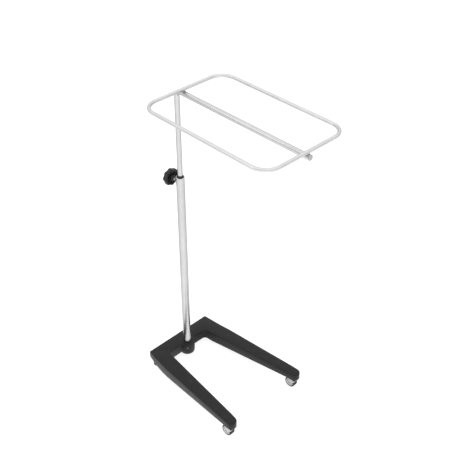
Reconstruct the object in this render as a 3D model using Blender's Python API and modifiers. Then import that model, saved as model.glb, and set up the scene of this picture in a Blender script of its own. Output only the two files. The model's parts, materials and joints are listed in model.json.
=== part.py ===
"""Instrument cart: a height-adjustable tray frame on a U-shaped cast base with two casters.

Metres, +Z up, floor at zero, +X towards the open end of the U, left side at -Y. The shapes are
made with the mast axis at X = 0, and the whole cart is then moved back to centre its length.
"""
import math

import bmesh
import bpy
from mathutils import Matrix, Vector

GAP = 0.0003                      # clearance between touching pieces
COLLECTION_NAME = "instrument_cart"

# Base casting
BASE_TOP = 0.052                  # flat top of the cross member
BASE_REAR_X = -0.0495
BASE_CORNER_Y = 0.1285            # half width at the rear edge
CROSS_FRONT_X = 0.0015            # front face of the cross member
LEG_TIP_X = 0.3690                # caster stem axis
LEG_TIP_Y = 0.1452
LEG_TIP_RADIUS = 0.0172
LEG_TIP_TOP = 0.0698
LEG_TIP_BOTTOM = 0.0428
LEG_ROOT_OUTER_Y = 0.1385         # outer side of a leg beside the mast
LEG_ROOT_INNER_Y = 0.0812
LEG_BULGE = ((0.0, 0.1340), (0.0600, 0.1415))   # outer side of a leg where it swells past the corner
CASTER_PAD_LENGTH = 0.0225        # level part of a leg behind the caster stem
INNER_CORNER_RADIUS = 0.014
LEG_RISE_X = 0.0300               # the legs rise towards the casters from here
UNDERSIDE_REAR = 0.0270
UNDERSIDE_LOWEST = 0.0110
UNDERSIDE_BREAK = (-0.0120, 0.0130)             # x and height where the underside turns to the rear
CASTING_EDGE_ROUND = 0.0034
BOSS_RADIUS = 0.0258
BOSS_BOTTOM = 0.0070
BOSS_NECK_STEP = 0.0012           # the boss is this much thinner below the casting
BOSS_NECK_CHAMFER = 0.0020

# Lower tube and its set screw
TUBE_RADIUS = 0.0130
TUBE_WALL = 0.0018
TUBE_BOTTOM = 0.0120
TUBE_TOP = 0.7277
SET_SCREW_RADIUS = 0.0040
SET_SCREW_Z = 0.0360
SET_SCREW_TURN = math.radians(-37)

# Rear feet
FOOT_X = -0.0275
FOOT_Y = 0.1165
FOOT_RADIUS = 0.0108
FOOT_HEIGHT = 0.0155
FOOT_BOSS_RADIUS = 0.0122
FOOT_BOSS_TOP = 0.0420
FOOT_SEAT_CLEARANCE = 0.0006
FOOT_SCREW_RADIUS = 0.0022
FOOT_SCREW_HEAD_RADIUS = 0.0042
FOOT_SCREW_HEAD_Z = (0.0035, 0.0065)
FOOT_SCREW_TOP = 0.0270

# Mast rod, bent over into the arm under the tray ring
ROD_RADIUS = 0.0080
ROD_WALL = 0.0015
ROD_BOTTOM = 0.3200
BEND_RADIUS = 0.0180
ARM_FRONT_X = 0.4905
PLUG_DOME = 0.0022                # how far the end plug stands out of the arm
PLUG_DEPTH = 0.0120
ROD_SIDES = 24

# Tray ring
RING_ROD_RADIUS = 0.0055
RING_Z = 1.0270                   # centre plane of the ring
RING_REAR_X = 0.0300
RING_FRONT_X = 0.4823
RING_HALF_WIDTH = 0.1467
RING_CORNER_RADIUS = 0.0470
ARM_Z = RING_Z - RING_ROD_RADIUS - ROD_RADIUS - GAP

# Guide bushes
BUSH_NECK_RADIUS = 0.0098
BUSH_NECK_TOP = TUBE_TOP + 0.0055
BUSH_BOTTOM = 0.7020
BUSH_BORE = ROD_RADIUS + 0.0003
ROD_GUIDE_LENGTH = 0.0300

# Height clamp
CLAMP_Z = 0.7080                  # height of the clamp screw's axis
STUD_RADIUS = 0.0040
STUD_TIP_X = -0.0106
STUD_HOLE = STUD_RADIUS + GAP
NUT_RADIUS = 0.0070
NUT_OUTER_X = -0.0200
KNOB_RADIUS = 0.0262
KNOB_LOBE = 0.0014                # how far a lobe stands out from the mean radius
KNOB_LOBES = 8
KNOB_INNER_X = -0.0358
KNOB_THICKNESS = 0.0150
KNOB_HUB_RADIUS = 0.0100
KNOB_HUB_LENGTH = 0.0085
KNOB_SOCKET_DEPTH = 0.0120
PAD_RADIUS = 0.0038
PAD_THICKNESS = 0.0018

# Casters
WHEEL_RADIUS = 0.0190
WHEEL_WIDTH = 0.0210
WHEEL_TRAIL = 0.0120              # wheel axle behind the stem axis
HUB_RADIUS = 0.0140
AXLE_RADIUS = 0.0025
AXLE_HEAD_RADIUS = 0.0046
FORK_PLATE = 0.0022
FORK_CHEEK = 0.0020
FORK_INNER_HALF = WHEEL_WIDTH / 2 + 0.0010
FORK_TOP = 0.0407
STEM_RADIUS = 0.0040
STEM_HEAD_RADIUS = 0.0055
STEM_HEAD = 0.0009
STEM_TOP = 0.0620
RACE_RADIUS = 0.0110

# The mast axis stands behind the middle of the cart's length
CART_REAR_X = KNOB_INNER_X - KNOB_THICKNESS
CART_FRONT_X = ARM_FRONT_X + PLUG_DOME
MAST_X = -(CART_REAR_X + CART_FRONT_X) / 2

CHROME = ("bright_chrome", (0.62, 0.63, 0.64), 0.12, 1.0)
CAST_IRON = ("black_enamelled_iron", (0.030, 0.030, 0.031), 0.42, 0.0)
BLACK_PLASTIC = ("black_plastic", (0.020, 0.020, 0.021), 0.45, 0.0)
BLACK_RUBBER = ("black_rubber", (0.025, 0.025, 0.026), 0.70, 0.0)
ZINC_STEEL = ("zinc_plated_steel", (0.55, 0.56, 0.57), 0.30, 1.0)
GREY_PLASTIC = ("grey_plastic", (0.50, 0.51, 0.52), 0.45, 0.0)
BRASS = ("brass", (0.62, 0.46, 0.20), 0.35, 1.0)


def clear_scene():
    for old in list(bpy.data.objects):
        bpy.data.objects.remove(old, do_unlink=True)


def make_collection(name):
    parts = bpy.data.collections.new(name)
    bpy.context.scene.collection.children.link(parts)
    return parts


def make_material(spec):
    name, colour, roughness, metallic = spec
    found = bpy.data.materials.get(name)
    if found:
        return found
    material = bpy.data.materials.new(name)
    material.use_nodes = True
    shader = material.node_tree.nodes["Principled BSDF"]
    shader.inputs["Base Color"].default_value = (*colour, 1.0)
    shader.inputs["Roughness"].default_value = roughness
    shader.inputs["Metallic"].default_value = metallic
    material.diffuse_color = (*colour, 1.0)
    return material


def bake(source):
    """Replace an object by a plain welded mesh of what its modifiers or bevel make."""
    bpy.context.view_layer.update()
    depsgraph = bpy.context.evaluated_depsgraph_get()
    mesh = bpy.data.meshes.new_from_object(source.evaluated_get(depsgraph))
    shape = bmesh.new()
    shape.from_mesh(mesh)
    bmesh.ops.remove_doubles(shape, verts=shape.verts, dist=0.00001)
    bmesh.ops.recalc_face_normals(shape, faces=shape.faces)
    shape.to_mesh(mesh)
    shape.free()
    baked = bpy.data.objects.new("shape", mesh)
    baked.matrix_world = source.matrix_world.copy()
    parts.objects.link(baked)
    bpy.data.objects.remove(source, do_unlink=True)
    return baked


def apply_transform(piece):
    """Move an object's placing into its mesh, so that its origin is the world origin."""
    piece.data.transform(piece.matrix_world)
    piece.matrix_world = Matrix.Identity(4)
    return piece


def add_curve(points_list, radius=0.0, extrude=0.0, flat=False, cyclic=False, sides=16):
    """One curve object with a POLY spline for each list of points."""
    curve = bpy.data.curves.new("outline", "CURVE")
    curve.dimensions = "2D" if flat else "3D"
    curve.fill_mode = "BOTH" if flat else "FULL"
    curve.extrude = extrude
    curve.bevel_depth = radius
    curve.bevel_resolution = (sides - 4) // 2
    curve.use_fill_caps = bool(radius) and not cyclic
    for points in points_list:
        spline = curve.splines.new("POLY")
        spline.points.add(len(points) - 1)
        spline.use_cyclic_u = flat or cyclic
        for spot, point in zip(spline.points, points):
            spot.co = (*Vector(point).to_3d(), 1.0)
    holder = bpy.data.objects.new("outline", curve)
    parts.objects.link(holder)
    return holder


def plate(outline, thickness, turn=Matrix.Identity(4)):
    """A flat outline in XY given thickness about its own plane, then turned into place."""
    holder = add_curve([outline], extrude=thickness / 2, flat=True)
    holder.matrix_world = turn
    return apply_transform(bake(holder))


def tube_along(points, radius, cyclic=False, sides=16):
    return apply_transform(bake(add_curve([points], radius=radius, cyclic=cyclic, sides=sides)))


def turned(profile, closed=False, steps=40):
    """A profile of (radius, height) points, listed top to bottom, spun about Z."""
    mesh = bpy.data.meshes.new("profile")
    count = len(profile)
    edges = [(i, i + 1) for i in range(count - 1)]
    if closed:
        edges.append((count - 1, 0))
    mesh.from_pydata([(radius, 0.0, height) for radius, height in profile], edges, [])
    spun = bpy.data.objects.new("profile", mesh)
    parts.objects.link(spun)
    screw = spun.modifiers.new("Screw", "SCREW")
    screw.steps = steps
    screw.render_steps = steps
    screw.use_merge_vertices = True
    screw.merge_threshold = 0.00001
    return apply_transform(bake(spun))


def cylinder(radius, start, end, sides=32):
    """A solid cylinder between two points."""
    start = Vector(start)
    end = Vector(end)
    axis = end - start
    bpy.ops.mesh.primitive_cylinder_add(vertices=sides, radius=radius, depth=axis.length)
    piece = bpy.context.object
    for owner in list(piece.users_collection):
        owner.objects.unlink(piece)
    parts.objects.link(piece)
    turn = axis.to_track_quat("Z", "Y").to_matrix().to_4x4()
    piece.matrix_world = Matrix.Translation((start + end) / 2) @ turn
    return apply_transform(piece)


def boolean(target, cutter, operation):
    step = target.modifiers.new("Boolean", "BOOLEAN")
    step.operation = operation
    step.solver = "EXACT"
    step.object = cutter
    joined = bake(target)
    bpy.data.objects.remove(cutter, do_unlink=True)
    return joined


def cut(target, cutter):
    return boolean(target, cutter, "DIFFERENCE")


def join(target, other):
    return boolean(target, other, "UNION")


def common(target, other):
    return boolean(target, other, "INTERSECT")


def merge_flats(target):
    """Turn each flat group of triangles into one face, so that a bevel runs evenly along it."""
    shape = bmesh.new()
    shape.from_mesh(target.data)
    bmesh.ops.dissolve_limit(shape, angle_limit=math.radians(0.5), verts=shape.verts, edges=shape.edges)
    shape.to_mesh(target.data)
    shape.free()


def bevel(target, width, segments=2, angle=40):
    merge_flats(target)
    step = target.modifiers.new("Bevel", "BEVEL")
    step.width = width
    step.segments = segments
    step.use_clamp_overlap = False
    step.limit_method = "ANGLE"
    step.angle_limit = math.radians(angle)
    return bake(target)


def finish(piece, name, spec, origin=(0, 0, 0), parent=None, sharp=35):
    """Name and colour a piece, set its origin and hang it on its axis empty."""
    piece.name = name
    piece.data.name = name
    origin = Vector(origin)
    piece.data.transform(Matrix.Translation(-origin))
    piece.data.shade_smooth()
    piece.data.set_sharp_from_angle(angle=math.radians(sharp))
    piece.data.materials.clear()
    piece.data.materials.append(make_material(spec))
    piece.location = origin
    if parent:
        piece.parent = parent
        piece.location = origin - parent.matrix_world.translation
    return piece


def add_axis(name, location, parent=None):
    axis = bpy.data.objects.new(name, None)
    axis.empty_display_size = 0.02
    parts.objects.link(axis)
    axis.parent = parent
    axis.location = location
    if parent:
        axis.location = Vector(location) - parent.matrix_world.translation
    bpy.context.view_layer.update()
    return axis


def arc(centre, radius, start, end, steps):
    """Points on an arc in XY, angles in degrees."""
    points = []
    for i in range(steps + 1):
        angle = math.radians(start + (end - start) * i / steps)
        points.append((centre[0] + radius * math.cos(angle), centre[1] + radius * math.sin(angle)))
    return points


# ---- base -------------------------------------------------------------------------------

def leg_outline():
    """Plan of the right half of the base, from the rear centre round the leg to the boss."""
    splay_outer = math.degrees(math.atan2(LEG_TIP_Y + LEG_TIP_RADIUS - LEG_ROOT_OUTER_Y, LEG_TIP_X))
    splay_inner = math.degrees(math.atan2(LEG_TIP_Y - LEG_TIP_RADIUS - LEG_ROOT_INNER_Y, LEG_TIP_X))
    corner_x = CROSS_FRONT_X + INNER_CORNER_RADIUS
    corner_y = LEG_ROOT_INNER_Y + corner_x * math.tan(math.radians(splay_inner)) - INNER_CORNER_RADIUS
    points = [(BASE_REAR_X, 0.0), (BASE_REAR_X, BASE_CORNER_Y)]
    points += LEG_BULGE
    points += arc((LEG_TIP_X, LEG_TIP_Y), LEG_TIP_RADIUS, 90 + splay_outer, -90 + splay_inner, 12)
    points += arc((corner_x, corner_y), INNER_CORNER_RADIUS, 90, 180, 5)
    boss_edge = math.degrees(math.acos(CROSS_FRONT_X / BOSS_RADIUS))
    points += arc((0, 0), BOSS_RADIUS, boss_edge, 0, 8)
    return points


def casting_body():
    """U plan crossed with the side view: level at the mast, rising to the caster pads."""
    half = leg_outline()
    mirrored = [(x, -y) for x, y in reversed(half)]
    plan = plate(half + mirrored[1:-1], 0.2)
    pad_start = LEG_TIP_X - CASTER_PAD_LENGTH
    side = [
        (BASE_REAR_X - 0.01, BASE_TOP),
        (BASE_REAR_X - 0.01, UNDERSIDE_REAR - 0.002),
        (BASE_REAR_X, UNDERSIDE_REAR),
        UNDERSIDE_BREAK,
        (LEG_RISE_X, UNDERSIDE_LOWEST),
        (pad_start, LEG_TIP_BOTTOM),
        (LEG_TIP_X + 0.05, LEG_TIP_BOTTOM),
        (LEG_TIP_X + 0.05, LEG_TIP_TOP),
        (pad_start, LEG_TIP_TOP),
        (LEG_RISE_X, BASE_TOP),
    ]
    upright = Matrix.Rotation(math.pi / 2, 4, "X")
    return common(plan, plate(side, 0.5, upright))


def make_base():
    base = bevel(casting_body(), CASTING_EDGE_ROUND, segments=3, angle=50)
    neck = BOSS_RADIUS - BOSS_NECK_STEP
    base = join(base, turned([(0, UNDERSIDE_REAR), (neck, UNDERSIDE_REAR),
                              (neck, BOSS_BOTTOM + BOSS_NECK_CHAMFER),
                              (neck - BOSS_NECK_CHAMFER, BOSS_BOTTOM), (0, BOSS_BOTTOM)]))
    for side in (-1, 1):
        foot = (FOOT_X, side * FOOT_Y)
        base = join(base, cylinder(FOOT_BOSS_RADIUS, (*foot, UNDERSIDE_LOWEST), (*foot, FOOT_BOSS_TOP)))
        seat = FOOT_BOSS_RADIUS + FOOT_SEAT_CLEARANCE
        base = cut(base, cylinder(seat, (*foot, 0.0), (*foot, FOOT_HEIGHT + GAP)))
        base = cut(base, cylinder(FOOT_SCREW_RADIUS + GAP, (*foot, 0.0), (*foot, FOOT_SCREW_TOP + GAP), 16))
        tip = (LEG_TIP_X, side * LEG_TIP_Y)
        base = cut(base, cylinder(STEM_RADIUS + GAP, (*tip, 0.0), (*tip, STEM_TOP + GAP), 24))
    base = cut(base, cylinder(TUBE_RADIUS + GAP, (0, 0, TUBE_BOTTOM - GAP), (0, 0, 0.1), 40))
    outward = Vector((math.cos(SET_SCREW_TURN), math.sin(SET_SCREW_TURN), 0))
    level = Vector((0, 0, SET_SCREW_Z))
    base = cut(base, cylinder(SET_SCREW_RADIUS + GAP, level, level + outward * 0.04, 24))
    return finish(base, "base_casting", CAST_IRON)


def make_set_screw():
    """Hex-socket screw in the boss wall that pins the tube in its socket."""
    outward = Vector((math.cos(SET_SCREW_TURN), math.sin(SET_SCREW_TURN), 0))
    level = Vector((0, 0, SET_SCREW_Z))
    inner = level + outward * (TUBE_RADIUS + GAP)
    outer = level + outward * (BOSS_RADIUS - 0.0022)
    screw = cylinder(SET_SCREW_RADIUS, inner, outer, 24)
    screw = cut(screw, cylinder(SET_SCREW_RADIUS * 0.58, outer - outward * 0.004, outer + outward * 0.002, 6))
    return finish(screw, "tube_set_screw", ZINC_STEEL, origin=level + outward * TUBE_RADIUS)


def make_foot(side, label):
    """Rubber foot with a recessed screw up into the casting."""
    low, high = FOOT_SCREW_HEAD_Z
    hole = FOOT_SCREW_RADIUS + GAP
    recess = FOOT_SCREW_HEAD_RADIUS + GAP
    foot = turned([(hole, FOOT_HEIGHT), (FOOT_RADIUS, FOOT_HEIGHT), (FOOT_RADIUS, 0.0015),
                   (FOOT_RADIUS - 0.0015, 0), (recess, 0), (recess, high + GAP), (hole, high + GAP)],
                  closed=True, steps=32)
    screw = turned([(0, FOOT_SCREW_TOP), (FOOT_SCREW_RADIUS, FOOT_SCREW_TOP), (FOOT_SCREW_RADIUS, high),
                    (FOOT_SCREW_HEAD_RADIUS, high), (FOOT_SCREW_HEAD_RADIUS, low), (0, low)], steps=16)
    place = Vector((FOOT_X, side * FOOT_Y, 0))
    for piece in (foot, screw):
        piece.data.transform(Matrix.Translation(place))
    finish(foot, "foot_" + label, BLACK_RUBBER, origin=place)
    finish(screw, "foot_screw_" + label, ZINC_STEEL, origin=place)


# ---- mast -------------------------------------------------------------------------------

def make_lower_tube():
    inner = TUBE_RADIUS - TUBE_WALL
    edge = 0.0004
    tube = turned([(inner, TUBE_TOP), (TUBE_RADIUS - edge, TUBE_TOP), (TUBE_RADIUS, TUBE_TOP - edge),
                   (TUBE_RADIUS, TUBE_BOTTOM), (inner, TUBE_BOTTOM)], closed=True)
    tube = cut(tube, cylinder(STUD_HOLE, (0, 0, CLAMP_Z), (-0.03, 0, CLAMP_Z), 24))
    return finish(tube, "lower_tube", CHROME, origin=(0, 0, TUBE_BOTTOM))


def make_guide_bush():
    """Plastic bush in the tube's mouth; its neck stands above the rim round the rod."""
    body = TUBE_RADIUS - TUBE_WALL - GAP
    bush = turned([(BUSH_BORE, BUSH_NECK_TOP), (BUSH_NECK_RADIUS - 0.0004, BUSH_NECK_TOP),
                   (BUSH_NECK_RADIUS, BUSH_NECK_TOP - 0.0004), (BUSH_NECK_RADIUS, TUBE_TOP),
                   (body, TUBE_TOP), (body, BUSH_BOTTOM), (BUSH_BORE, BUSH_BOTTOM)], closed=True)
    bush = cut(bush, cylinder(STUD_HOLE, (0, 0, CLAMP_Z), (-0.03, 0, CLAMP_Z), 24))
    return finish(bush, "guide_bush", BLACK_PLASTIC, origin=(0, 0, TUBE_TOP))


def mast_path():
    """Up the mast axis, round the bend and along the arm."""
    centre = (BEND_RADIUS, ARM_Z - BEND_RADIUS)
    points = [(0.0, 0.0, ROD_BOTTOM)]
    points += [(x, 0.0, z) for x, z in arc(centre, BEND_RADIUS, 180, 90, 12)]
    points.append((ARM_FRONT_X, 0.0, ARM_Z))
    return points


def make_mast_rod(mast):
    """Steel tube, open at both ends and bent over at the top."""
    path = mast_path()
    rod = tube_along(path, ROD_RADIUS, sides=ROD_SIDES)
    beyond = [(0.0, 0.0, ROD_BOTTOM - 0.01)] + path[1:-1] + [(ARM_FRONT_X + 0.01, 0.0, ARM_Z)]
    rod = cut(rod, tube_along(beyond, ROD_RADIUS - ROD_WALL, sides=ROD_SIDES))
    return finish(rod, "mast_rod", CHROME, origin=(0, 0, TUBE_TOP), parent=mast)


def make_arm_plug(mast):
    """Domed plug that closes the front end of the arm."""
    bore = ROD_RADIUS - ROD_WALL - GAP
    plug = turned([(0, PLUG_DOME), (ROD_RADIUS * 0.55, 0.0018), (ROD_RADIUS - 0.0006, 0.0008),
                   (ROD_RADIUS, GAP), (bore, GAP), (bore, -PLUG_DEPTH), (0, -PLUG_DEPTH)], steps=32)
    turn = Matrix.Translation((ARM_FRONT_X, 0, ARM_Z)) @ Matrix.Rotation(math.pi / 2, 4, "Y")
    plug.data.transform(turn)
    return finish(plug, "arm_end_plug", ZINC_STEEL, origin=(ARM_FRONT_X, 0, ARM_Z), parent=mast)


def make_tray_ring(mast):
    """Closed round-cornered ring of thin rod, welded on top of the arm at both ends."""
    radius = RING_CORNER_RADIUS
    right = RING_HALF_WIDTH - radius
    corners = [((RING_REAR_X + radius, -right), 180), ((RING_FRONT_X - radius, -right), 270),
               ((RING_FRONT_X - radius, right), 0), ((RING_REAR_X + radius, right), 90)]
    points = []
    for centre, start in corners:
        points += [(x, y, RING_Z) for x, y in arc(centre, radius, start, start + 90, 9)]
    ring = tube_along(points, RING_ROD_RADIUS, cyclic=True, sides=20)
    return finish(ring, "tray_ring", CHROME, origin=(0, 0, RING_Z), parent=mast)


def make_rod_guide(slider):
    """Plastic guide under the rod's lower end, held by a pin spigot inside the rod."""
    body = TUBE_RADIUS - TUBE_WALL - 0.0004
    spigot = ROD_RADIUS - ROD_WALL - GAP
    top = ROD_BOTTOM - GAP
    guide = turned([(0, top + 0.018), (spigot - 0.001, top + 0.018), (spigot, top + 0.017), (spigot, top),
                    (body - 0.001, top), (body, top - 0.001), (body, top - ROD_GUIDE_LENGTH + 0.002),
                    (body - 0.002, top - ROD_GUIDE_LENGTH), (0, top - ROD_GUIDE_LENGTH)])
    return finish(guide, "rod_guide", BLACK_PLASTIC, origin=(0, 0, top), parent=slider)


# ---- height clamp -------------------------------------------------------------------------

def make_clamp_nut():
    """Threaded boss welded on the back of the tube."""
    nut = cylinder(NUT_RADIUS, (NUT_OUTER_X, 0, CLAMP_Z), (-0.004, 0, CLAMP_Z), 32)
    nut = bevel(nut, 0.0008)
    nut = cut(nut, cylinder(TUBE_RADIUS + GAP, (0, 0, CLAMP_Z - 0.03), (0, 0, CLAMP_Z + 0.03), 48))
    nut = cut(nut, cylinder(STUD_HOLE, (0, 0, CLAMP_Z), (-0.03, 0, CLAMP_Z), 24))
    return finish(nut, "clamp_nut", CHROME, origin=(-TUBE_RADIUS, 0, CLAMP_Z))


def make_pressure_pad(axis):
    """Brass pad between the screw's tip and the rod."""
    outer = STUD_TIP_X + GAP
    pad = cylinder(PAD_RADIUS, (outer, 0, CLAMP_Z), (outer + PAD_THICKNESS, 0, CLAMP_Z), 24)
    return finish(pad, "pressure_pad", BRASS, origin=(outer, 0, CLAMP_Z), parent=axis)


def make_clamp_stud(axis):
    end = KNOB_INNER_X - KNOB_SOCKET_DEPTH + GAP
    stud = bevel(cylinder(STUD_RADIUS, (end, 0, CLAMP_Z), (STUD_TIP_X, 0, CLAMP_Z), 24), 0.0006)
    return finish(stud, "clamp_stud", ZINC_STEEL, origin=(STUD_TIP_X, 0, CLAMP_Z), parent=axis)


def make_clamp_knob(axis):
    """Lobed knob with a hub towards the tube and a blind socket for the stud."""
    points = []
    steps = KNOB_LOBES * 10
    for i in range(steps):
        angle = 2 * math.pi * i / steps
        radius = KNOB_RADIUS + KNOB_LOBE * math.cos(KNOB_LOBES * angle)
        points.append((radius * math.cos(angle), radius * math.sin(angle)))
    middle = KNOB_INNER_X - KNOB_THICKNESS / 2
    turn = Matrix.Translation((middle, 0, CLAMP_Z)) @ Matrix.Rotation(math.pi / 2, 4, "Y")
    knob = bevel(plate(points, KNOB_THICKNESS, turn), 0.0030, segments=3)
    hub_end = KNOB_INNER_X + KNOB_HUB_LENGTH
    knob = join(knob, cylinder(KNOB_HUB_RADIUS, (middle, 0, CLAMP_Z), (hub_end, 0, CLAMP_Z)))
    socket_end = KNOB_INNER_X - KNOB_SOCKET_DEPTH
    knob = cut(knob, cylinder(STUD_HOLE, (socket_end, 0, CLAMP_Z), (0, 0, CLAMP_Z), 24))
    return finish(knob, "clamp_knob", BLACK_PLASTIC, origin=(middle, 0, CLAMP_Z), parent=axis)


# ---- casters ------------------------------------------------------------------------------

def fork_side():
    """Side view of the fork: plate round the stem and cheeks sloping back to the axle."""
    front = 0.0125
    back = -WHEEL_TRAIL + 0.0015
    low = WHEEL_RADIUS
    points = [(front, FORK_TOP), (back, FORK_TOP)]
    points += arc((-WHEEL_TRAIL, low), 0.0062, 159, 345, 10)
    points.append((front, FORK_TOP - FORK_PLATE - 0.001))
    return points


def make_fork(place, parent, label):
    outer = FORK_INNER_HALF + FORK_CHEEK
    upright = Matrix.Translation(place) @ Matrix.Rotation(math.pi / 2, 4, "X")
    fork = plate(fork_side(), 2 * outer, upright)
    hollow_top = FORK_TOP - FORK_PLATE
    hollow = plate([(-0.05, -0.01), (0.05, -0.01), (0.05, hollow_top), (-0.05, hollow_top)],
                   2 * FORK_INNER_HALF, upright)
    fork = cut(fork, hollow)
    stem = Vector(place)
    fork = cut(fork, cylinder(STEM_RADIUS + GAP, stem + Vector((0, 0, 0.036)), stem + Vector((0, 0, 0.045)), 24))
    axle = stem + Vector((-WHEEL_TRAIL, 0, WHEEL_RADIUS))
    reach = Vector((0, outer + 0.01, 0))
    fork = cut(fork, cylinder(AXLE_RADIUS + GAP, axle - reach, axle + reach, 20))
    return finish(fork, "caster_fork_" + label, ZINC_STEEL, origin=stem, parent=parent)


def make_stem(place, label):
    """Fixed stem: shank in the casting, shoulder race above the fork, rolled head below it."""
    race_low = FORK_TOP + GAP
    race_high = LEG_TIP_BOTTOM - GAP
    head_top = FORK_TOP - FORK_PLATE - GAP
    stem = turned([(0, STEM_TOP), (STEM_RADIUS, STEM_TOP), (STEM_RADIUS, race_high + 0.0001),
                   (RACE_RADIUS, race_high), (RACE_RADIUS, race_low), (STEM_RADIUS, race_low),
                   (STEM_RADIUS, head_top), (STEM_HEAD_RADIUS, head_top),
                   (STEM_HEAD_RADIUS - 0.0003, head_top - STEM_HEAD), (0, head_top - STEM_HEAD)], steps=32)
    stem.data.transform(Matrix.Translation(place))
    return finish(stem, "caster_stem_" + label, ZINC_STEEL, origin=place)


def make_axle(axle, parent, label):
    """Riveted axle with a head outside each fork cheek."""
    cheek = FORK_INNER_HALF + FORK_CHEEK + GAP
    tip = cheek + 0.0014
    pin = turned([(0, tip), (AXLE_HEAD_RADIUS - 0.0008, tip), (AXLE_HEAD_RADIUS, tip - 0.0006),
                  (AXLE_HEAD_RADIUS, cheek), (AXLE_RADIUS, cheek), (AXLE_RADIUS, -cheek),
                  (AXLE_HEAD_RADIUS, -cheek), (AXLE_HEAD_RADIUS, -tip + 0.0006),
                  (AXLE_HEAD_RADIUS - 0.0008, -tip), (0, -tip)], steps=24)
    pin.data.transform(Matrix.Translation(axle) @ Matrix.Rotation(math.pi / 2, 4, "X"))
    return finish(pin, "caster_axle_" + label, ZINC_STEEL, origin=axle, parent=parent)


def make_wheel(axle, parent, label):
    """Plastic hub with a dished face each side, and a rubber tyre pressed round it."""
    bore = AXLE_RADIUS + GAP
    half = WHEEL_WIDTH / 2
    rim = half - 0.0012
    hub = turned([(bore, half), (0.0056, half), (0.0064, rim - 0.0025), (HUB_RADIUS - 0.0022, rim - 0.0025),
                  (HUB_RADIUS - 0.0016, rim), (HUB_RADIUS, rim), (HUB_RADIUS, -rim),
                  (HUB_RADIUS - 0.0016, -rim), (HUB_RADIUS - 0.0022, -rim + 0.0025),
                  (0.0064, -rim + 0.0025), (0.0056, -half), (bore, -half)], closed=True, steps=32)
    inner = HUB_RADIUS + GAP
    shoulder = 0.0022
    tyre = turned([(inner, rim), (WHEEL_RADIUS - shoulder, half), (WHEEL_RADIUS - 0.0006, half - shoulder * 0.6),
                   (WHEEL_RADIUS, half - shoulder * 1.6), (WHEEL_RADIUS, -half + shoulder * 1.6),
                   (WHEEL_RADIUS - 0.0006, -half + shoulder * 0.6), (WHEEL_RADIUS - shoulder, -half),
                   (inner, -rim)], closed=True, steps=40)
    for piece in (hub, tyre):
        piece.data.transform(Matrix.Translation(axle) @ Matrix.Rotation(math.pi / 2, 4, "X"))
    finish(hub, "wheel_hub_" + label, GREY_PLASTIC, origin=axle, parent=parent)
    finish(tyre, "wheel_tyre_" + label, BLACK_RUBBER, origin=axle, parent=parent)


def make_caster(side, label):
    place = Vector((LEG_TIP_X, side * LEG_TIP_Y, 0))
    axle = place + Vector((-WHEEL_TRAIL, 0, WHEEL_RADIUS))
    swivel = add_axis("swivel_axis_" + label, place)
    spin = add_axis("wheel_axis_" + label, axle, swivel)
    make_stem(place, label)
    make_fork(place, swivel, label)
    make_axle(axle, swivel, label)
    make_wheel(axle, spin, label)


def main():
    make_base()
    make_set_screw()
    make_lower_tube()
    make_guide_bush()
    for side, label in ((-1, "left"), (1, "right")):
        make_foot(side, label)
        make_caster(side, label)

    slider = add_axis("height_axis", (0, 0, ROD_BOTTOM))
    mast = add_axis("mast_turn_axis", (0, 0, TUBE_TOP), slider)
    make_rod_guide(slider)
    make_mast_rod(mast)
    make_arm_plug(mast)
    make_tray_ring(mast)

    screw_travel = add_axis("clamp_travel_axis", (STUD_TIP_X, 0, CLAMP_Z))
    screw_turn = add_axis("clamp_turn_axis", (STUD_TIP_X, 0, CLAMP_Z), screw_travel)
    make_clamp_nut()
    make_pressure_pad(screw_travel)
    make_clamp_stud(screw_turn)
    make_clamp_knob(screw_turn)

    for piece in parts.objects:
        if piece.parent is None:
            piece.location.x += MAST_X


clear_scene()
parts = make_collection(COLLECTION_NAME)
main()
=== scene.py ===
import json
import math

import bmesh
import bpy
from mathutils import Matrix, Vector

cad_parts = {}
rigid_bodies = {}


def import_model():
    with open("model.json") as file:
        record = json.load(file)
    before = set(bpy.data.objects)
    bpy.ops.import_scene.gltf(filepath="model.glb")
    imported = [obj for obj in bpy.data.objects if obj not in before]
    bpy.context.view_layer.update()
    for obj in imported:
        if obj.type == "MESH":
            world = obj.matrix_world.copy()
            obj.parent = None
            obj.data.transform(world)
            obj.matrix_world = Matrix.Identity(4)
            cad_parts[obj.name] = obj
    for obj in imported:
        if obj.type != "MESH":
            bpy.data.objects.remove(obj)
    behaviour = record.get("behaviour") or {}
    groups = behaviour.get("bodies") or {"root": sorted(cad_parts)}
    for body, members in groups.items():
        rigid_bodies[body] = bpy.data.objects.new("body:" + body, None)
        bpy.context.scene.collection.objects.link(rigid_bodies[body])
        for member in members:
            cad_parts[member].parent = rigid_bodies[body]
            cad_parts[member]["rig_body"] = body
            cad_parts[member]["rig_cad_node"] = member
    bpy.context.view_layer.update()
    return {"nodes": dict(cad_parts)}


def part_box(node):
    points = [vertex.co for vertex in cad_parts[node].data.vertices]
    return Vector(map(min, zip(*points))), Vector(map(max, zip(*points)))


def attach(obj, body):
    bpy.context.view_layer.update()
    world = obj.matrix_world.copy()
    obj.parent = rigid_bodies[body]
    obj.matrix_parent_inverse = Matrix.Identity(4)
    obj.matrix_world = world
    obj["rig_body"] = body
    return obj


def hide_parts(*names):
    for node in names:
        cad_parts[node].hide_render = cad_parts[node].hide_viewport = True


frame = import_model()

# where things are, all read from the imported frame
tubeLow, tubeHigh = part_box("lower_tube")
rodLow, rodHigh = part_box("mast_rod")
ringLow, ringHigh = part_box("tray_ring")
mastX = (tubeLow.x + tubeHigh.x) / 2
tubeRadius = (tubeHigh.x - tubeLow.x) / 2
rodRadius = (rodHigh.y - rodLow.y) / 2
railRadius = (ringHigh.z - ringLow.z) / 2
armZ = rodHigh.z - rodRadius
ringZ = ringHigh.z - railRadius
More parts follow.
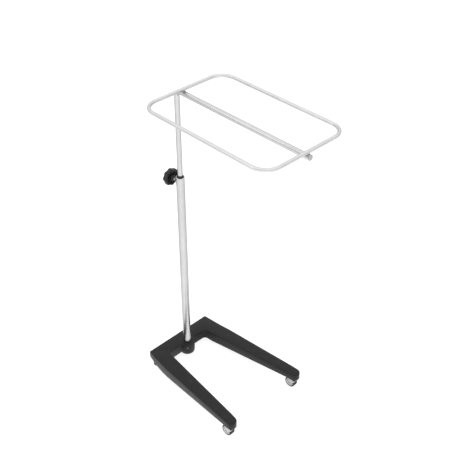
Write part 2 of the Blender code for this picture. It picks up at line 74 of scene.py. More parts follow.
clampZ = (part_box("clamp_stud")[0].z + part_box("clamp_stud")[1].z) / 2
clampHole = 0.0043  # radius of the hole for the clamp stud
clampReach = 0.03
print("frame loaded, mast axis at x = %.4f" % mastX)


# modelling helpers

def deselectAll():
    for thing in list(bpy.context.selected_objects):
        thing.select_set(False)


def pick(piece):
    deselectAll()
    piece.select_set(True)
    bpy.context.view_layer.objects.active = piece


def applyPlace(piece):
    pick(piece)
    bpy.ops.object.transform_apply(location=True, rotation=True, scale=True)


def openEdit(piece, mode="VERT"):
    pick(piece)
    bpy.ops.object.mode_set(mode="EDIT")
    bpy.ops.mesh.select_mode(type=mode)
    bpy.ops.mesh.select_all(action="DESELECT")


def closeEdit():
    bpy.ops.object.mode_set(mode="OBJECT")


def selectFaces(piece, wanted):
    # wanted gets the middle and the normal of a face
    bpy.ops.mesh.select_all(action="DESELECT")
    bpy.ops.mesh.select_mode(type="FACE")
    mesh = bmesh.from_edit_mesh(piece.data)
    for face in mesh.faces:
        face.select_set(bool(wanted(face.calc_center_median(), face.normal)))
    bmesh.update_edit_mesh(piece.data)


def selectEdges(piece, wanted):
    # wanted gets the two ends of an edge
    bpy.ops.mesh.select_all(action="DESELECT")
    bpy.ops.mesh.select_mode(type="EDGE")
    mesh = bmesh.from_edit_mesh(piece.data)
    for edge in mesh.edges:
        edge.select_set(bool(wanted(edge.verts[0].co, edge.verts[1].co)))
    bmesh.update_edit_mesh(piece.data)


def selectPoints(piece, wanted):
    bpy.ops.mesh.select_all(action="DESELECT")
    bpy.ops.mesh.select_mode(type="VERT")
    mesh = bmesh.from_edit_mesh(piece.data)
    for point in mesh.verts:
        point.select_set(bool(wanted(point.co)))
    mesh.select_flush_mode()
    bmesh.update_edit_mesh(piece.data)


def push(move):
    bpy.ops.mesh.extrude_region_move(TRANSFORM_OT_translate={"value": move})


def bendRound(centre, axis, steps):
    # a quarter turn, right-handed about the axis
    bpy.ops.mesh.spin(steps=steps, angle=-math.pi / 2, center=centre, axis=axis)


def tidyMesh(piece, mergeAt=0.000005):
    openEdit(piece)
    bpy.ops.mesh.select_all(action="SELECT")
    bpy.ops.mesh.remove_doubles(threshold=mergeAt)
    bpy.ops.mesh.normals_make_consistent(inside=False)
    closeEdit()


def addStep(piece, kind, **settings):
    # a modifier, set and applied at once
    pick(piece)
    step = piece.modifiers.new(kind.title(), kind)
    for key, value in settings.items():
        setattr(step, key, value)
    bpy.ops.object.modifier_apply(modifier=step.name)


def softenEdges(piece, width, segments=2, angle=35):
    addStep(piece, "BEVEL", width=width, segments=segments, limit_method="ANGLE",
            angle_limit=math.radians(angle), use_clamp_overlap=True, harden_normals=False)


def smoothShade(piece, angle=35):
    pick(piece)
    bpy.ops.object.shade_smooth_by_angle(angle=math.radians(angle))


def turnedPiece(name, rings, sides=48, hollow=False):
    # rings are (radius, height) up the Z axis; a hollow piece ends on its first ring
    deselectAll()
    radius, height = rings[0]
    bpy.ops.mesh.primitive_circle_add(vertices=sides, radius=radius, location=(0, 0, height))
    piece = bpy.context.object
    piece.name = name
    applyPlace(piece)
    openEdit(piece)
    bpy.ops.mesh.select_all(action="SELECT")
    for nextRadius, nextHeight in rings[1:]:
        push((0, 0, nextHeight - height))
        grow = nextRadius / radius
        bpy.ops.transform.resize(value=(grow, grow, 1), center_override=(0, 0, nextHeight))
        radius, height = nextRadius, nextHeight
    if not hollow:
        bpy.ops.mesh.edge_face_add()
        bpy.ops.mesh.select_all(action="DESELECT")
        bpy.ops.mesh.select_non_manifold()
        bpy.ops.mesh.edge_face_add()
    closeEdit()
    tidyMesh(piece)
    return piece


def putAt(piece, place, turn=(0, 0, 0)):
    piece.rotation_euler = turn
    piece.location = place
    applyPlace(piece)


def moveMesh(piece, offset):
    piece.location = offset
    applyPlace(piece)


def copyPiece(piece, name, offset=(0, 0, 0)):
    pick(piece)
    bpy.ops.object.duplicate()
    twin = bpy.context.object
    twin.name = name
    moveMesh(twin, offset)
    return twin


def joinInto(piece, extras):
    pick(piece)
    for extra in extras:
        extra.select_set(True)
    bpy.ops.object.join()
    return piece


def drillClampHole(piece):
    # the hole for the clamp stud, through the rear wall only
    deselectAll()
    bpy.ops.mesh.primitive_cylinder_add(vertices=40, radius=clampHole, depth=clampReach,
                                        location=(mastX - clampReach / 2, 0, clampZ),
                                        rotation=(0, math.pi / 2, 0))
    drill = bpy.context.object
    addStep(piece, "BOOLEAN", operation="DIFFERENCE", solver="EXACT", object=drill)
    bpy.data.objects.remove(drill)
    tidyMesh(piece)


nodeCopy = {"mergeAt": 0.00002, "flatAngle": 1.0}


def copyOfNode(nodeName, name):
    # a merged copy of a frame node, with its flats in one face each
    pick(frame["nodes"][nodeName])
    bpy.ops.object.duplicate()
    piece = bpy.context.object
    piece.parent = None
    piece.name = name
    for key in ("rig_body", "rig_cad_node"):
        if key in piece:
            del piece[key]
    piece.data.materials.clear()
    openEdit(piece)
    bpy.ops.mesh.select_all(action="SELECT")
    bpy.ops.mesh.remove_doubles(threshold=nodeCopy["mergeAt"])
    bpy.ops.mesh.dissolve_limited(angle_limit=math.radians(nodeCopy["flatAngle"]))
    closeEdit()
    return piece


def finishPiece(piece, material, body, replaced=(), angle=35):
    smoothShade(piece, angle)
    piece.data.materials.clear()
    piece.data.materials.append(material)
    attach(piece, body)
    if replaced:
        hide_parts(*replaced)


def paintNode(nodeName, material):
    node = frame["nodes"][nodeName]
    node.data.materials.clear()
    node.data.materials.append(material)


# materials

def newMaterial(name, colour, roughness, metallic=0.0):
    material = bpy.data.materials.new(name)
    material.use_nodes = True
    tree = material.node_tree
    shader = tree.nodes["Principled BSDF"]
    shader.inputs["Base Color"].default_value = (*colour, 1)
    shader.inputs["Roughness"].default_value = roughness
    shader.inputs["Metallic"].default_value = metallic
    return material, tree, shader


def addNoise(tree, scale, detail=4.0, stretch=(1, 1, 1), roughness=0.55):
    place = tree.nodes.new("ShaderNodeTexCoord")
    mapping = tree.nodes.new("ShaderNodeMapping")
    mapping.inputs["Scale"].default_value = stretch
    noise = tree.nodes.new("ShaderNodeTexNoise")
    noise.inputs["Scale"].default_value = scale
    noise.inputs["Detail"].default_value = detail
    noise.inputs["Roughness"].default_value = roughness
    tree.links.new(place.outputs["Object"], mapping.inputs["Vector"])
    tree.links.new(mapping.outputs["Vector"], noise.inputs["Vector"])
    return noise.outputs["Fac"]


def addRange(tree, value, low, high, fromLow=0.3, fromHigh=0.7):
    remap = tree.nodes.new("ShaderNodeMapRange")
    remap.inputs["From Min"].default_value = fromLow
    remap.inputs["From Max"].default_value = fromHigh
    remap.inputs["To Min"].default_value = low
    remap.inputs["To Max"].default_value = high
    tree.links.new(value, remap.inputs["Value"])
    return remap.outputs["Result"]


def addColours(tree, value, stops):
    ramp = tree.nodes.new("ShaderNodeValToRGB")
    ramp.color_ramp.elements[0].position = stops[0][0]
    ramp.color_ramp.elements[0].color = (*stops[0][1], 1)
    ramp.color_ramp.elements[1].position = stops[-1][0]
    ramp.color_ramp.elements[1].color = (*stops[-1][1], 1)
    for position, colour in stops[1:-1]:
        ramp.color_ramp.elements.new(position).color = (*colour, 1)
    tree.links.new(value, ramp.inputs["Fac"])
    return ramp.outputs["Color"]


def addBump(tree, shader, heights):
    # heights are (value, strength, distance), laid one on the other
    normal = None
    for value, strength, distance in heights:
        bump = tree.nodes.new("ShaderNodeBump")
        bump.inputs["Strength"].default_value = strength
        bump.inputs["Distance"].default_value = distance
        tree.links.new(value, bump.inputs["Height"])
        if normal:
            tree.links.new(normal, bump.inputs["Normal"])
        normal = bump.outputs["Normal"]
    tree.links.new(normal, shader.inputs["Normal"])


def makeChrome(name, look):
    material, tree, shader = newMaterial(name, look["colour"], look["roughness"], 1.0)
    cloud = addNoise(tree, look["cloudScale"], 3.0)
    streaks = addNoise(tree, look["streakScale"], 5.0, look["streakStretch"])
    tree.links.new(addRange(tree, streaks, look["roughness"] - 0.03, look["roughness"] + 0.05),
                   shader.inputs["Roughness"])
    dark = tuple(c * look["dulling"] for c in look["colour"])
    tree.links.new(addColours(tree, cloud, [(0.35, dark), (0.62, look["colour"])]),
                   shader.inputs["Base Color"])
    addBump(tree, shader, [(cloud, 0.05, 0.0002), (streaks, 0.04, 0.00005)])
    return material


def makeEnamel(look):
    material, tree, shader = newMaterial("blackEnamel", look["colour"], look["roughness"])
    grain = addNoise(tree, look["grainScale"], 6.0)
    lumps = addNoise(tree, look["lumpScale"], 2.0)
    marks = addNoise(tree, look["markScale"], 8.0, roughness=0.7)
    tree.links.new(addColours(tree, marks, [(0.30, look["deep"]), (0.55, look["colour"]),
                                            (0.74, look["dusty"])]), shader.inputs["Base Color"])
    tree.links.new(addRange(tree, marks, look["roughness"] - 0.07, look["roughness"] + 0.10),
                   shader.inputs["Roughness"])
    shader.inputs["Specular IOR Level"].default_value = look["gloss"]
    addBump(tree, shader, [(lumps, 0.25, 0.0008), (grain, 0.30, 0.0002)])
    return material


def makePlastic(name, look):
    material, tree, shader = newMaterial(name, look["colour"], look["roughness"])
    grain = addNoise(tree, look["grainScale"], 5.0)
    cloud = addNoise(tree, look["cloudScale"], 3.0)
    tree.links.new(addColours(tree, cloud, [(0.3, look["deep"]), (0.7, look["colour"])]),
                   shader.inputs["Base Color"])
    tree.links.new(addRange(tree, cloud, look["roughness"] - 0.05, look["roughness"] + 0.08),
                   shader.inputs["Roughness"])
    shader.inputs["Specular IOR Level"].default_value = look["gloss"]
    addBump(tree, shader, [(grain, look["grain"], 0.0001)])
    return material


chromeLook = {"colour": (0.378, 0.378, 0.380), "roughness": 0.27, "dulling": 0.94,
              "cloudScale": 30.0, "streakScale": 220.0, "streakStretch": (1.0, 1.0, 0.04)}
railLook = dict(chromeLook, colour=(0.435, 0.435, 0.437), roughness=0.34, streakStretch=(0.3, 0.3, 1.0))
enamelLook = {"colour": (0.010, 0.010, 0.010), "deep": (0.006, 0.006, 0.006),
              "dusty": (0.019, 0.019, 0.019), "roughness": 0.48, "gloss": 0.13,
              "grainScale": 900.0, "lumpScale": 110.0, "markScale": 45.0}
knobLook = {"colour": (0.014, 0.014, 0.014), "deep": (0.009, 0.009, 0.009), "roughness": 0.42,
            "gloss": 0.2, "grainScale": 1500.0, "cloudScale": 60.0, "grain": 0.25}
rubberLook = {"colour": (0.012, 0.012, 0.012), "deep": (0.007, 0.007, 0.007), "roughness": 0.62,
              "gloss": 0.2, "grainScale": 1100.0, "cloudScale": 90.0, "grain": 0.40}
hubLook = {"colour": (0.46, 0.46, 0.46), "deep": (0.40, 0.40, 0.40), "roughness": 0.42,
           "gloss": 0.5, "grainScale": 1300.0, "cloudScale": 80.0, "grain": 0.15}
zincLook = {"colour": (0.33, 0.33, 0.334), "roughness": 0.34, "dulling": 0.82,
            "cloudScale": 140.0, "streakScale": 500.0, "streakStretch": (1.0, 1.0, 1.0)}
brassLook = dict(zincLook, colour=(0.62, 0.45, 0.19))

tubeChrome = makeChrome("tubeChrome", chromeLook)
railChrome = makeChrome("railChrome", railLook)
zincPlate = makeChrome("zincPlate", zincLook)
turnedBrass = makeChrome("turnedBrass", brassLook)
blackEnamel = makeEnamel(enamelLook)
knobPlastic = makePlastic("knobPlastic", knobLook)
tyreRubber = makePlastic("tyreRubber", rubberLook)
hubPlastic = makePlastic("hubPlastic", hubLook)
print("materials made")


# tray ring: one rod bent round four corners
ringShape = {"cornerRadius": 0.047, "sides": 32, "cornerSteps": 24}


def makeTrayRing(shape):
    corner = shape["cornerRadius"]
    rearX = ringLow.x + railRadius
    frontX = ringHigh.x - railRadius
    halfY = ringHigh.y - railRadius
    longRun = frontX - rearX - 2 * corner
    shortRun = 2 * halfY - 2 * corner
    deselectAll()
    bpy.ops.mesh.primitive_circle_add(vertices=shape["sides"], radius=railRadius,
                                      location=(rearX + corner, -halfY, ringZ),
                                      rotation=(0, math.pi / 2, 0))
    ring = bpy.context.object
    ring.name = "trayRing"
    applyPlace(ring)
    openEdit(ring)
    bpy.ops.mesh.select_all(action="SELECT")
    centres = [(frontX - corner, -halfY + corner), (frontX - corner, halfY - corner),
               (rearX + corner, halfY - corner), (rearX + corner, -halfY + corner)]
    runs = [(longRun, 0, 0), (0, shortRun, 0), (-longRun, 0, 0), (0, -shortRun, 0)]
    for run, (x, y) in zip(runs, centres):
        push(run)
        bendRound((x, y, ringZ), (0, 0, 1), shape["cornerSteps"])
    closeEdit()
    tidyMesh(ring)
    finishPiece(ring, railChrome, "mast", ["tray_ring"], angle=50)


makeTrayRing(ringShape)


# mast rod, up the tube and bent over into the arm
mastShape = {"bendRadius": 0.018, "sides": 40, "bendSteps": 24}


def makeMastRod(shape):
    bend = shape["bendRadius"]
    deselectAll()
    bpy.ops.mesh.primitive_circle_add(vertices=shape["sides"], radius=rodRadius,
                                      location=(mastX, 0, rodLow.z))
    rod = bpy.context.object
    rod.name = "mastRod"
    applyPlace(rod)
    openEdit(rod)
    bpy.ops.mesh.select_all(action="SELECT")
    push((0, 0, armZ - bend - rodLow.z))
    bendRound((mastX + bend, 0, armZ - bend), (0, 1, 0), shape["bendSteps"])
    push((rodHigh.x - mastX - bend, 0, 0))
    bpy.ops.mesh.edge_face_add()
    bpy.ops.mesh.select_all(action="DESELECT")
    bpy.ops.mesh.select_non_manifold()
    bpy.ops.mesh.edge_face_add()
    closeEdit()
    tidyMesh(rod)
    softenEdges(rod, 0.0005)
    finishPiece(rod, tubeChrome, "mast", ["mast_rod"], angle=40)


makeMastRod(mastShape)


# weld beads where the ring lies on the arm
weldShape = {"reach": 0.0036, "thickness": 0.0010, "ripples": 14, "sides": 12,
             "overArm": 0.0012, "besideArm": -0.0010, "proud": 1.12, "sunk": 0.98}


def makeWeldBead(shape):
    segments = shape["ripples"] * 3
    middle = (ringZ - railRadius + armZ + rodRadius) / 2
    deselectAll()
    bpy.ops.mesh.primitive_torus_add(major_segments=segments, minor_segments=shape["sides"],
                                     major_radius=shape["reach"], minor_radius=shape["thickness"],
                                     location=(0, 0, 0))
    bead = bpy.context.object
    applyPlace(bead)
    openEdit(bead)
    for step in range(segments):
        angle = 2 * math.pi * step / segments
        spot = Vector((math.cos(angle), math.sin(angle), 0)) * shape["reach"]
        along = Vector((-math.sin(angle), math.cos(angle), 0))
        selectPoints(bead, lambda co: abs((co - spot).dot(along)) < 0.0001 and co.dot(spot) > 0)
        lift = shape["overArm"] * math.cos(angle) ** 2 + shape["besideArm"] * math.sin(angle) ** 2
        swell = shape["proud"] if step % 3 == 0 else shape["sunk"]
        bpy.ops.transform.resize(value=(swell, swell, swell), center_override=spot)
        bpy.ops.transform.translate(value=(0, 0, lift))
    closeEdit()
    tidyMesh(bead)
    moveMesh(bead, (0, 0, middle))
    return bead


frontBead = makeWeldBead(weldShape)
frontBead.name = "weldFront"
rearBead = copyPiece(frontBead, "weldRear", (ringLow.x + railRadius, 0, 0))
moveMesh(frontBead, (ringHigh.x - railRadius, 0, 0))
for bead in (frontBead, rearBead):
    finishPiece(bead, railChrome, "mast", angle=60)


# plug in the end of the arm
plugShape = {"lip": 0.0004, "reach": 0.012, "spigot": 0.79, "nose": 0.72, "step": 0.0002}


def makeArmPlug(shape):
    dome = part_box("arm_end_plug")[1].x - rodHigh.x
    r = rodRadius
    spigot, nose, step = r * shape["spigot"], r * shape["nose"], shape["step"]
    plug = turnedPiece("armPlug", [
        (nose, -shape["reach"]), (spigot, -shape["reach"] + 0.001), (spigot, step), (r - step, step),
        (r, shape["lip"]), (r - 0.0001, dome * 0.35), (r - 0.0007, dome * 0.62), (nose, dome * 0.82),
        (r * 0.45, dome * 0.95), (r * 0.15, dome)], sides=40)
    putAt(plug, (rodHigh.x, 0, armZ), (0, math.pi / 2, 0))
    finishPiece(plug, zincPlate, "mast", ["arm_end_plug"], angle=40)


makeArmPlug(plugShape)
print("mast, arm and tray ring made")


# outer tube with a rolled rim
tubeShape = {"wall": 0.0018, "rim": 0.0005, "sides": 64}


def makeLowerTube(shape):
    inner = tubeRadius - shape["wall"]
    rim = shape["rim"]
    low, top = tubeLow.z, tubeHigh.z
    tube = turnedPiece("lowerTube", [
        (inner, low), (tubeRadius, low), (tubeRadius, top - rim), (tubeRadius - rim * 0.3, top - rim * 0.3),
        (tubeRadius - rim, top), (inner + rim * 0.6, top), (inner, top - rim * 0.6), (inner, low)],
        sides=shape["sides"], hollow=True)
    putAt(tube, (mastX, 0, 0))
    drillClampHole(tube)
    finishPiece(tube, tubeChrome, "base", ["lower_tube"], angle=40)


makeLowerTube(tubeShape)


# bush in the mouth of the tube
bushShape = {"bore": 0.0083, "neck": 0.0098, "chamfer": 0.0005}


def makeGuideBush(shape):
    low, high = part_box("guide_bush")
    body = (high.x - low.x) / 2
    bore, neck, cut = shape["bore"], shape["neck"], shape["chamfer"]
    rimZ = tubeHigh.z
    bush = turnedPiece("guideBush", [
        (bore, low.z), (body, low.z), (body, rimZ - 0.0004), (neck, rimZ - 0.0001),
        (neck, high.z - cut), (neck - cut, high.z), (bore + cut, high.z), (bore, high.z - cut),
        (bore, low.z)], sides=56, hollow=True)
    putAt(bush, (mastX, 0, 0))
    drillClampHole(bush)
    finishPiece(bush, knobPlastic, "base", ["guide_bush"], angle=40)


makeGuideBush(bushShape)


# threaded boss welded on the back of the tube, with its bead
nutShape = {"chamfer": 0.0008, "beadRadius": 0.0090, "root": 0.010}


def makeClampNut(shape):
    low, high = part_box("clamp_nut")
    radius = (high.z - low.z) / 2
    length = mastX - low.x
    cut, bead, root = shape["chamfer"], shape["beadRadius"], shape["root"]
    nut = turnedPiece("clampNut", [
        (clampHole, root), (clampHole, length - cut), (clampHole + cut * 0.6, length),
        (radius - cut, length), (radius, length - cut), (radius, 0.0158), (radius + 0.0006, 0.0148),
        (bead - 0.0004, 0.0135), (bead, 0.0120), (bead - 0.001, root), (clampHole, root)],
        sides=40, hollow=True)
    putAt(nut, (mastX, 0, clampZ), (0, -math.pi / 2, 0))
    finishPiece(nut, tubeChrome, "base", ["clamp_nut"], angle=40)


makeClampNut(nutShape)


# clamp stud with its thread
studShape = {"pitch": 0.00125, "depth": 0.0005, "threads": 16, "sides": 32}


def makeClampStud(shape):
    low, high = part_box("clamp_stud")
    radius = (high.z - low.z) / 2
    root = radius - shape["depth"]
    rings = [(root, 0.0), (radius, shape["depth"])]
    height = shape["depth"]
    for _ in range(shape["threads"]):
        rings += [(radius, height + shape["pitch"] * 0.15), (root, height + shape["pitch"] * 0.5),
                  (root, height + shape["pitch"] * 0.6), (radius, height + shape["pitch"] * 0.95)]
        height += shape["pitch"]
    rings += [(radius, high.x - low.x)]
    stud = turnedPiece("clampStud", rings, sides=shape["sides"])
    putAt(stud, (high.x, 0, clampZ), (0, -math.pi / 2, 0))
    finishPiece(stud, zincPlate, "clamp_screw", ["clamp_stud"], angle=30)


makeClampStud(studShape)


# clamp knob: lobed rim, hub and ribs in a recess towards the tube, shallow dish outside
knobShape = {"lobes": 8, "columns": 80, "valley": 0.91, "edge": 0.0030,
             "dish": ((0, 0.84), (-0.0006, 0.96), (-0.0004, 0.93), (0, 0.60), (0.0006, 0.92)),
             "wall": 0.88, "recess": 0.0045, "draft": 0.95, "hub": 0.0100, "hubTip": 0.0082,
             "hubReach": 0.0085, "rib": 0.0018, "ribLength": 0.0130, "ribMiddle": 0.0155, "hole": 0.0043}


def makeClampKnob(shape):
    low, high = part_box("clamp_knob")
    radius = (high.z - low.z) / 2
    thickness = high.x - low.x - shape["hubReach"]
    columns = shape["columns"]
    deselectAll()
    bpy.ops.mesh.primitive_cylinder_add(vertices=columns, radius=radius, depth=thickness,
                                        location=(0, 0, thickness / 2))
    knob = bpy.context.object
    knob.name = "clampKnob"
    applyPlace(knob)
    openEdit(knob)
    # scale the columns between the lobes towards the axis, deepest in the middle of a valley
    perLobe = columns // shape["lobes"]
    for offset in range(perLobe // 2):
        def inValley(co, offset=offset):
            column = round(math.atan2(co.y, co.x) / (2 * math.pi) * columns)
            away = abs((column % perLobe) - perLobe // 2)
            return away == offset
        selectPoints(knob, inValley)
        depth = 0.5 + 0.5 * math.cos(math.pi * offset / (perLobe / 2))
        factor = 1 - (1 - shape["valley"]) * depth
        bpy.ops.transform.resize(value=(factor, factor, 1), center_override=(0, 0, 0))
    selectEdges(knob, lambda a, b: abs(a.z - b.z) < 0.0001)
    bpy.ops.mesh.bevel(offset=shape["edge"], segments=5, profile=0.5, clamp_overlap=True)
    # the dish on the outer face, then the recess towards the tube
    selectFaces(knob, lambda co, normal: normal.z > 0.99 and co.z > thickness * 0.9)
    for drop, factor in shape["dish"]:
        push((0, 0, drop))
        bpy.ops.transform.resize(value=(factor, factor, 1), center_override=(0, 0, 0))
    selectFaces(knob, lambda co, normal: normal.z < -0.99 and co.z < thickness * 0.1)
    for drop, factor in ((0, shape["wall"]), (shape["recess"], shape["draft"])):
        push((0, 0, drop))
        bpy.ops.transform.resize(value=(factor, factor, 1), center_override=(0, 0, 0))
    closeEdit()
    reach, recess, hole = shape["hubReach"], shape["recess"], shape["hole"]
    root, tip = shape["hub"], shape["hubTip"]
    hub = turnedPiece("knobHub", [
        (hole, recess + 0.001), (root + 0.001, recess + 0.001), (root, recess - 0.001), (root, 0.0),
        (tip + 0.0006, -reach + 0.0008), (tip, -reach), (hole + 0.0006, -reach),
        (hole, -reach + 0.0006), (hole, recess + 0.001)], sides=40, hollow=True)
    ribs = []
    for lobe in range(shape["lobes"]):
        bpy.ops.mesh.primitive_cube_add(size=1, location=(0, 0, 0))
        rib = bpy.context.object
        rib.scale = (shape["ribLength"], shape["rib"], recess - 0.0004)
        rib.location = (shape["ribMiddle"], 0, recess / 2 + 0.0004)
        applyPlace(rib)
        softenEdges(rib, 0.0004)
        rib.rotation_euler = (0, 0, 2 * math.pi * lobe / shape["lobes"])
        applyPlace(rib)
        ribs.append(rib)
    joinInto(knob, [hub, *ribs])
    putAt(knob, (low.x + thickness, 0, clampZ), (0, -math.pi / 2, 0))
    finishPiece(knob, knobPlastic, "clamp_screw", ["clamp_knob"], angle=40)


makeClampKnob(knobShape)
print("tube and clamp made")


# base casting, the frame's own shape with its flats in one face each
def makeBase():
    base = copyOfNode("base_casting", "baseCasting")
    finishPiece(base, blackEnamel, "base", ["base_casting"], angle=32)


makeBase()


def makeSetScrew():
    screw = copyOfNode("tube_set_screw", "setScrew")
    softenEdges(screw, 0.00025, angle=30)
    finishPiece(screw, zincPlate, "base", ["tube_set_screw"], angle=30)


makeSetScrew()


# rear feet
footShape = {"groove": 0.0006, "grooves": (0.36, 0.66), "recess": 0.0045, "seat": 0.0068, "hole": 0.0025}


def makeFoot(shape):
    low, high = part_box("foot_left")
    radius = (high.x - low.x) / 2
    top = high.z
    groove = shape["groove"]
    rings = [(shape["recess"], 0.0), (radius - 0.0016, 0.0), (radius - 0.0005, 0.0005), (radius, 0.0016)]
    for share in shape["grooves"]:
        z = top * share
        rings += [(radius, z - groove), (radius - groove, z - groove * 0.4),
                  (radius - groove, z + groove * 0.4), (radius, z + groove)]
    rings += [(radius, top - 0.0008), (radius - 0.0008, top), (shape["hole"], top),
              (shape["hole"], shape["seat"]), (shape["recess"], shape["seat"]), (shape["recess"], 0.0)]
    foot = turnedPiece("footLeft", rings, sides=40, hollow=True)
    putAt(foot, ((low.x + high.x) / 2, (low.y + high.y) / 2, 0))
    twin = copyPiece(foot, "footRight", (0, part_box("foot_right")[0].y - low.y, 0))
    finishPiece(foot, tyreRubber, "base", ["foot_left"], angle=30)
    finishPiece(twin, tyreRubber, "base", ["foot_right"], angle=30)


makeFoot(footShape)
print("base and feet made")


# casters, the left one modelled and copied to the right
casterShape = {"hubRadius": 0.014, "bossRadius": 0.0056, "dishDepth": 0.0027, "spokes": 5, "sides": 60,
               "pocket": 0.0024, "pocketRim": 0.0006, "axleBore": 0.0028, "forkEdge": 0.0005}


def makeTyre(shape, centre):
    low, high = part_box("wheel_tyre_left")
    radius = (high.z - low.z) / 2
    half = (high.y - low.y) / 2
    inner = shape["hubRadius"] + 0.0003
    side = [(inner, half - 0.0012), (inner + 0.0007, half - 0.0004), (radius - 0.0030, half),
            (radius - 0.0016, half - 0.0005), (radius - 0.0006, half - 0.0017),
            (radius - 0.0001, half - 0.0036), (radius, half - 0.0060), (radius, 0.0006),
            (radius - 0.0003, 0.0002)]
    rings = [(r, -h) for r, h in side] + [(r, h) for r, h in reversed(side)] + [(inner, -half + 0.0012)]
    tyre = turnedPiece("tyreLeft", rings, sides=72, hollow=True)
    putAt(tyre, centre, (math.pi / 2, 0, 0))
    return tyre


def makeHub(shape, centre):
    low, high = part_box("wheel_hub_left")
    half = (high.y - low.y) / 2
    rim = half - 0.0012
    boss, radius, dish = shape["bossRadius"], shape["hubRadius"], half - 0.0012 - shape["dishDepth"]
    bore = shape["axleBore"]
    side = [(bore, half), (boss - 0.0004, half), (boss, half - 0.0004), (boss + 0.0005, dish + 0.0003),
            (boss + 0.0009, dish), (radius - 0.0026, dish), (radius - 0.0022, dish + 0.0003),
            (radius - 0.0016, rim), (radius - 0.0001, rim)]
    rings = [(r, -h) for r, h in side] + [(r, h) for r, h in reversed(side)] + [(bore, -half)]
    hub = turnedPiece("hubLeft", rings, sides=shape["sides"], hollow=True)
    # pockets between the spokes, on both faces
    perSpoke = shape["sides"] // shape["spokes"]
    openEdit(hub, "FACE")
    for face in (-1, 1):
        for spoke in range(shape["spokes"]):
            def inPocket(co, normal, face=face, spoke=spoke):
                column = math.floor((math.atan2(co.y, co.x) / (2 * math.pi) % 1) * shape["sides"])
                onDish = abs(co.z - face * dish) < 0.00005 and normal.z * face > 0.9
                return onDish and column // perSpoke == spoke and 1 <= column % perSpoke <= perSpoke - 2
            selectFaces(hub, inPocket)
            bpy.ops.mesh.inset(thickness=shape["pocketRim"])
            push((0, 0, -face * shape["pocket"]))
    closeEdit()
    tidyMesh(hub)
    putAt(hub, centre, (math.pi / 2, 0, 0))
    return hub


def makeAxle(centre):
    low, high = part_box("caster_axle_left")
    radius = (high.z - low.z) / 2
    half = (high.y - low.y) / 2
    side = [(radius * 0.25, half - 0.0004), (radius * 0.45, half), (radius * 0.80, half - 0.0003),
            (radius * 0.97, half - 0.0008), (radius, half - 0.0013), (0.0025, half - 0.0014)]
    rings = [(r, -h) for r, h in side] + [(r, h) for r, h in reversed(side)]
    axle = turnedPiece("axleLeft", rings, sides=32)
    putAt(axle, centre, (math.pi / 2, 0, 0))
    return axle


def makeStem(place):
    low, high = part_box("caster_stem_left")
    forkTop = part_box("caster_fork_left")[1].z
    padBottom = forkTop + 0.0021
    race = (high.x - low.x) / 2
    r = 0.004
    stem = turnedPiece("stemLeft", [
        (r * 0.6, low.z), (0.0052, low.z), (0.0055, low.z + 0.0003), (0.0055, low.z + 0.0008),
        (r, low.z + 0.0009), (r, forkTop + 0.0003), (race - 0.0006, forkTop + 0.0003),
        (race, forkTop + 0.0007), (race, forkTop + 0.0011), (race - 0.0008, padBottom - 0.0003),
        (r + 0.0004, padBottom - 0.0003),
        (r, padBottom), (r, high.z - 0.0008), (r - 0.0008, high.z)], sides=48)
    putAt(stem, place)
    return stem


def makeCasters(shape):
    tyreLow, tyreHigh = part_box("wheel_tyre_left")
    centre = (tyreLow + tyreHigh) / 2
    stemLow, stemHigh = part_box("caster_stem_left")
    place = ((stemLow.x + stemHigh.x) / 2, (stemLow.y + stemHigh.y) / 2, 0)
    across = (0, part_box("wheel_tyre_right")[0].y - tyreLow.y, 0)
    tyre = makeTyre(shape, centre)
    hub = makeHub(shape, centre)
    axle = makeAxle(centre)
    stem = makeStem(place)
    fork = copyOfNode("caster_fork_left", "forkLeft")
    softenEdges(fork, shape["forkEdge"], segments=3, angle=30)
    kit = [(tyre, "tyreRight", tyreRubber, "wheel", "tyre_rubber", "wheel_tyre"),
           (hub, "hubRight", hubPlastic, "wheel", "grey_plastic", "wheel_hub"),
           (axle, "axleRight", zincPlate, "caster", "zinc_plated_steel", "caster_axle"),
           (fork, "forkRight", zincPlate, "caster", "zinc_plated_steel", "caster_fork"),
           (stem, "stemRight", zincPlate, "base", "zinc_plated_steel", "caster_stem")]
    for piece, twinName, material, body, slot, node in kit:
        twin = copyPiece(piece, twinName, across)
        for thing, label in ((piece, "left"), (twin, "right")):
            finishPiece(thing, material, body if body == "base" else body + "_" + label,
                        [node + "_" + label], angle=32)


makeCasters(casterShape)
print("casters made")

paintNode("rod_guide", knobPlastic)
paintNode("pressure_pad", turnedBrass)
paintNode("foot_screw_left", zincPlate)
paintNode("foot_screw_right", zincPlate)


# floor, light and camera
studio = {"floorShade": 0.24, "rearGlow": 0.78, "frontGlow": 1.75, "glowTurn": -44.0,
          "glowStart": -0.5, "glowEnd": 1.0, "seenFloor": 0.82,
          "horizon": 1.32, "zenith": 1.95, "lowSky": 0.25, "highSky": 0.85, "seenSky": 1.1,
          "keyPower": 7.0, "keyPlace": (-1.3, -2.3, 2.6), "keySize": 1.2, "keyAim": 0.4}


def plainWhenSeen(tree, lit, plain):
    # seen directly the studio is plain white, and it lights the cart with its own strength
    rays = tree.nodes.new("ShaderNodeLightPath")
    blend = tree.nodes.new("ShaderNodeMapRange")
    tree.links.new(rays.outputs["Is Camera Ray"], blend.inputs["Value"])
    tree.links.new(lit, blend.inputs["To Min"])
    blend.inputs["To Max"].default_value = plain
    return blend.outputs["Result"]


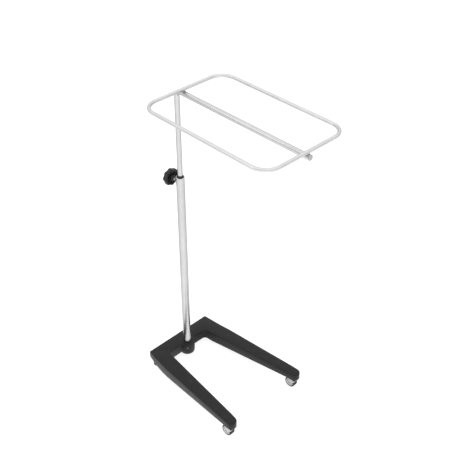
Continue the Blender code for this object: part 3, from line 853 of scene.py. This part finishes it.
def makeFloor(look):
    deselectAll()
    bpy.ops.mesh.primitive_plane_add(size=40, location=(0, 0, 0))
    floor = bpy.context.object
    floor.name = "floor"
    shade = look["floorShade"]
    material, tree, shader = newMaterial("floorWhite", (shade, shade, shade), 0.9)
    shader.inputs["Specular IOR Level"].default_value = 0.0
    # the floor glows most on the front side of the mast and fades with the angle round it
    place = tree.nodes.new("ShaderNodeTexCoord")
    mapping = tree.nodes.new("ShaderNodeMapping")
    mapping.inputs["Location"].default_value = (-mastX, 0, 0)
    mapping.inputs["Scale"].default_value = (1, 1, 0)
    outward = tree.nodes.new("ShaderNodeVectorMath")
    outward.operation = "NORMALIZE"
    facing = tree.nodes.new("ShaderNodeVectorMath")
    facing.operation = "DOT_PRODUCT"
    turn = math.radians(look["glowTurn"])
    facing.inputs[1].default_value = (math.cos(turn), math.sin(turn), 0)
    tree.links.new(place.outputs["Object"], mapping.inputs["Vector"])
    tree.links.new(mapping.outputs["Vector"], outward.inputs[0])
    tree.links.new(outward.outputs["Vector"], facing.inputs[0])
    glow = addRange(tree, facing.outputs["Value"], look["rearGlow"], look["frontGlow"],
                    look["glowStart"], look["glowEnd"])
    shader.inputs["Emission Color"].default_value = (1, 1, 1, 1)
    tree.links.new(plainWhenSeen(tree, glow, look["seenFloor"]), shader.inputs["Emission Strength"])
    floor.data.materials.append(material)


def makeSky(look):
    # even studio light, stronger from overhead
    world = bpy.data.worlds.new("studioWorld")
    bpy.context.scene.world = world
    world.use_nodes = True
    tree = world.node_tree
    backdrop = tree.nodes["Background"]
    backdrop.inputs["Color"].default_value = (1, 1, 1, 1)
    direction = tree.nodes.new("ShaderNodeTexCoord")
    split = tree.nodes.new("ShaderNodeSeparateXYZ")
    tree.links.new(direction.outputs["Generated"], split.inputs["Vector"])
    strength = addRange(tree, split.outputs["Z"], look["horizon"], look["zenith"],
                        look["lowSky"], look["highSky"])
    strength.node.interpolation_type = "SMOOTHSTEP"
    tree.links.new(plainWhenSeen(tree, strength, look["seenSky"]), backdrop.inputs["Strength"])


def makeKeyLight(look):
    lamp = bpy.data.lights.new("keyLight", "AREA")
    lamp.size = look["keySize"]
    lamp.energy = look["keyPower"]
    holder = bpy.data.objects.new("keyLight", lamp)
    bpy.context.scene.collection.objects.link(holder)
    holder.location = look["keyPlace"]
    aim = Vector((mastX, 0, look["keyAim"])) - Vector(look["keyPlace"])
    holder.rotation_euler = aim.to_track_quat("-Z", "Y").to_euler()


makeFloor(studio)
makeSky(studio)
makeKeyLight(studio)

cameraView = {"place": (1.5512, -1.2960, 2.0479), "turn": 46.065, "down": 36.930, "lens": 63.711,
              "shiftX": 0.0012, "shiftY": 0.0008}


def makeCamera(view):
    turn, down = math.radians(view["turn"]), math.radians(view["down"])
    lens = bpy.data.cameras.new("camera")
    lens.lens = view["lens"]
    lens.sensor_width = 36
    lens.shift_x = view["shiftX"]
    lens.shift_y = view["shiftY"]
    holder = bpy.data.objects.new("camera", lens)
    bpy.context.scene.collection.objects.link(holder)
    holder.location = Vector(view["place"]) + Vector((mastX, 0, 0))
    ahead = Vector((-math.sin(turn) * math.cos(down), math.cos(turn) * math.cos(down), -math.sin(down)))
    holder.rotation_euler = ahead.to_track_quat("-Z", "Y").to_euler()
    bpy.context.scene.camera = holder


makeCamera(cameraView)
bpy.context.scene.view_settings.view_transform = "Standard"
print("studio and camera set")
